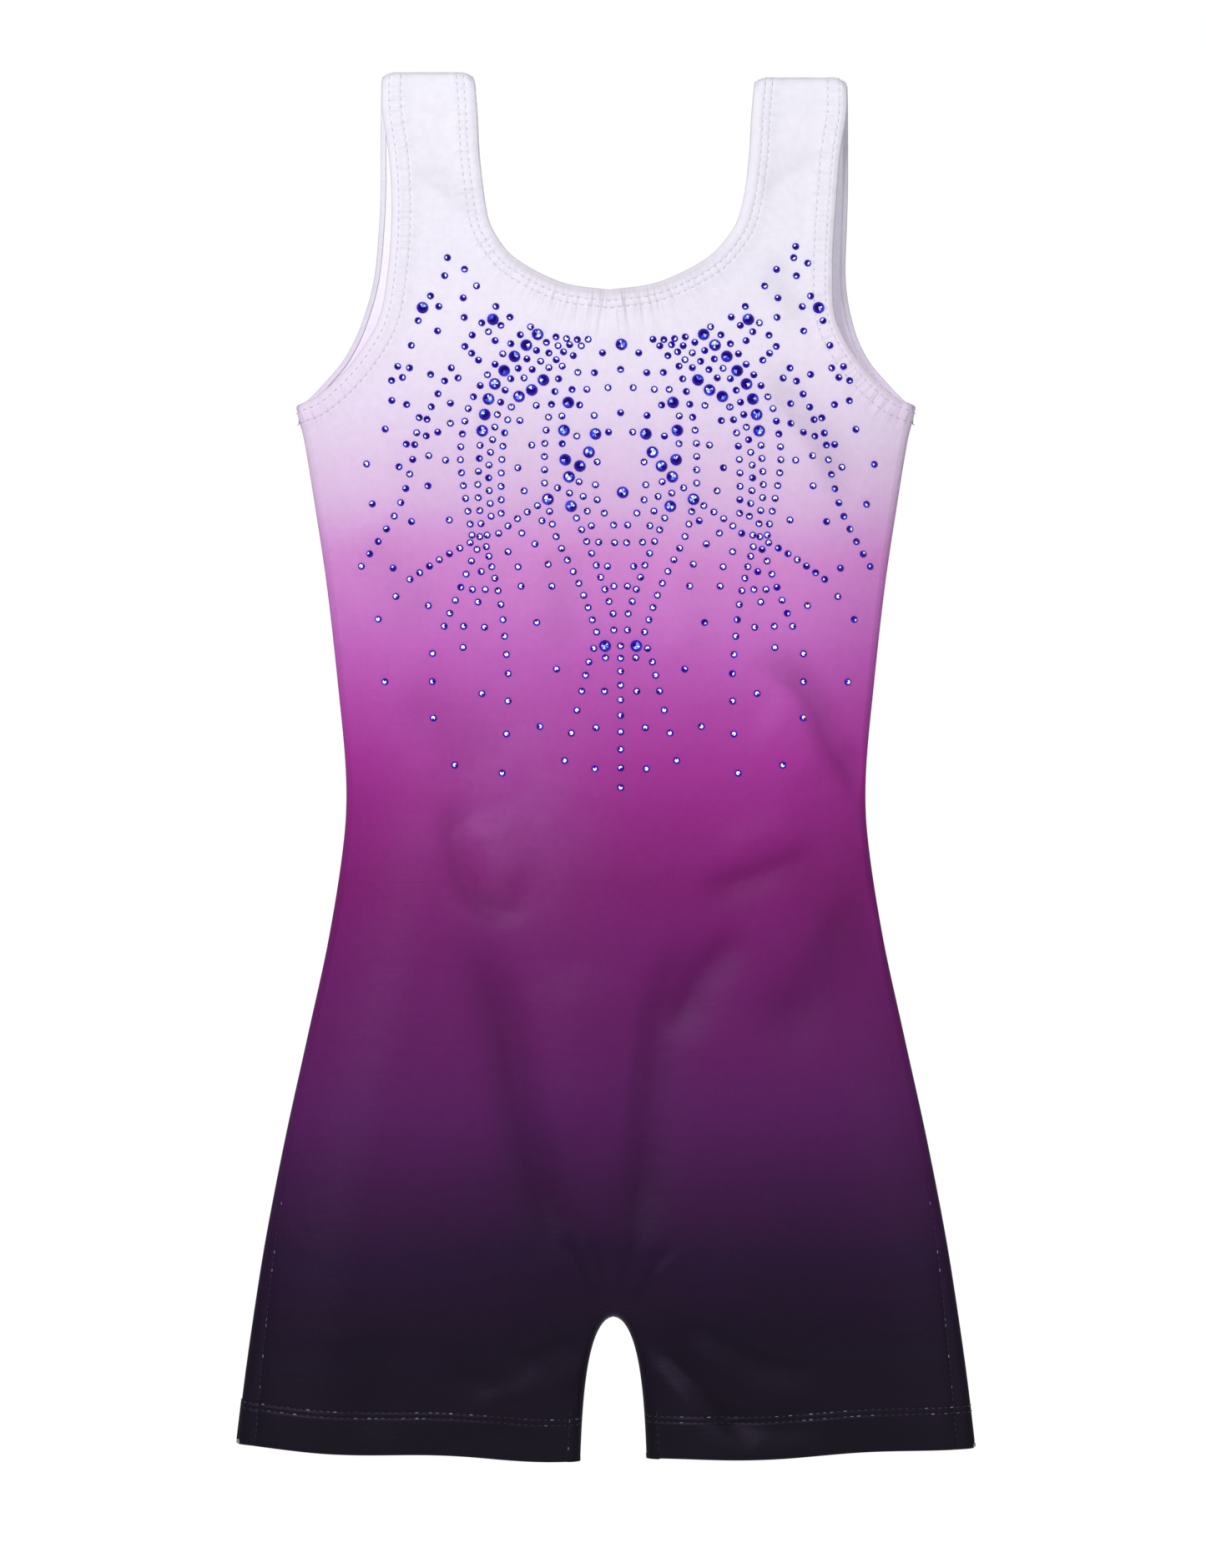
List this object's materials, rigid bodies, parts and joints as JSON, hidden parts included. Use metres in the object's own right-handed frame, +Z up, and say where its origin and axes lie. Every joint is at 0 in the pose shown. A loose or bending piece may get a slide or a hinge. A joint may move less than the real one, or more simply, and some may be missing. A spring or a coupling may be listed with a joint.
{
  "type": "gymnastics leotard",
  "caption": "Child's sleeveless gymnastics leotard with short legs, scoop neck and wide straps, printed knit fading from white to dark violet, with a crystal motif on the chest.",
  "frame": {"origin": "between the two straps, level with the top of the higher shoulder fold, on the mid-plane between front and back", "axes": "+Z up along the garment's length, front facing -Y, +X to the right as seen from the front"},
  "size_m": [0.2952, 0.031, 0.5535],
  "materials": {
    "printed_knit": "satin nylon and elastane knit, colour fading from white at the top to near-black violet at the hems",
    "casing_knit": "inner face of the pale knit, matt",
    "hem_knit": "inner face of the dark knit, matt",
    "elastic": "ribbed white braid",
    "seam_thread": "overlocked edge, fluffy thread",
    "lining": "matt soft lining knit",
    "crystal": "foiled faceted sapphire glass, high gloss"
  },
  "bodies": {
    "root": {"front_panel": "printed_knit", "back_panel": "printed_knit", "neckline_elastic": "elastic", "neckline_casing": "casing_knit", "left_armhole_elastic": "elastic", "left_armhole_casing": "casing_knit", "right_armhole_elastic": "elastic", "right_armhole_casing": "casing_knit", "left_leg_hem": "hem_knit", "right_leg_hem": "hem_knit", "left_side_seam": "seam_thread", "right_side_seam": "seam_thread", "inseam": "seam_thread", "left_shoulder_seam": "seam_thread", "right_shoulder_seam": "seam_thread", "crotch_gusset": "lining", "crystal_middle_1": "crystal", "crystal_middle_2": "crystal", "crystal_arc_left_1": "crystal", "crystal_arc_right_1": "crystal", "crystal_arc_left_2": "crystal", "crystal_arc_right_2": "crystal", "crystal_arc_left_3": "crystal", "crystal_arc_right_3": "crystal", "crystal_arc_left_4": "crystal", "crystal_arc_right_4": "crystal", "crystal_arc_left_5": "crystal", "crystal_arc_right_5": "crystal", "crystal_arc_left_6": "crystal", "crystal_arc_right_6": "crystal", "crystal_arc_left_7": "crystal", "crystal_arc_right_7": "crystal", "crystal_arc_left_8": "crystal", "crystal_arc_right_8": "crystal", "crystal_row_left_1": "crystal", "crystal_row_right_1": "crystal", "crystal_row_left_2": "crystal", "crystal_row_right_2": "crystal", "crystal_row_left_3": "crystal", "crystal_row_right_3": "crystal", "crystal_cluster_left_1": "crystal", "crystal_cluster_right_1": "crystal", "crystal_cluster_left_2": "crystal", "crystal_cluster_right_2": "crystal", "crystal_cluster_left_3": "crystal", "crystal_cluster_right_3": "crystal", "crystal_cluster_left_4": "crystal", "crystal_cluster_right_4": "crystal", "crystal_cluster_left_5": "crystal", "crystal_cluster_right_5": "crystal", "crystal_cluster_left_6": "crystal", "crystal_cluster_right_6": "crystal", "crystal_cluster_left_7": "crystal", "crystal_cluster_right_7": "crystal", "crystal_cluster_left_8": "crystal", "crystal_cluster_right_8": "crystal", "crystal_cluster_left_9": "crystal", "crystal_cluster_right_9": "crystal", "crystal_pair_left_1": "crystal", "crystal_pair_right_1": "crystal"}
  },
  "joints": []
}
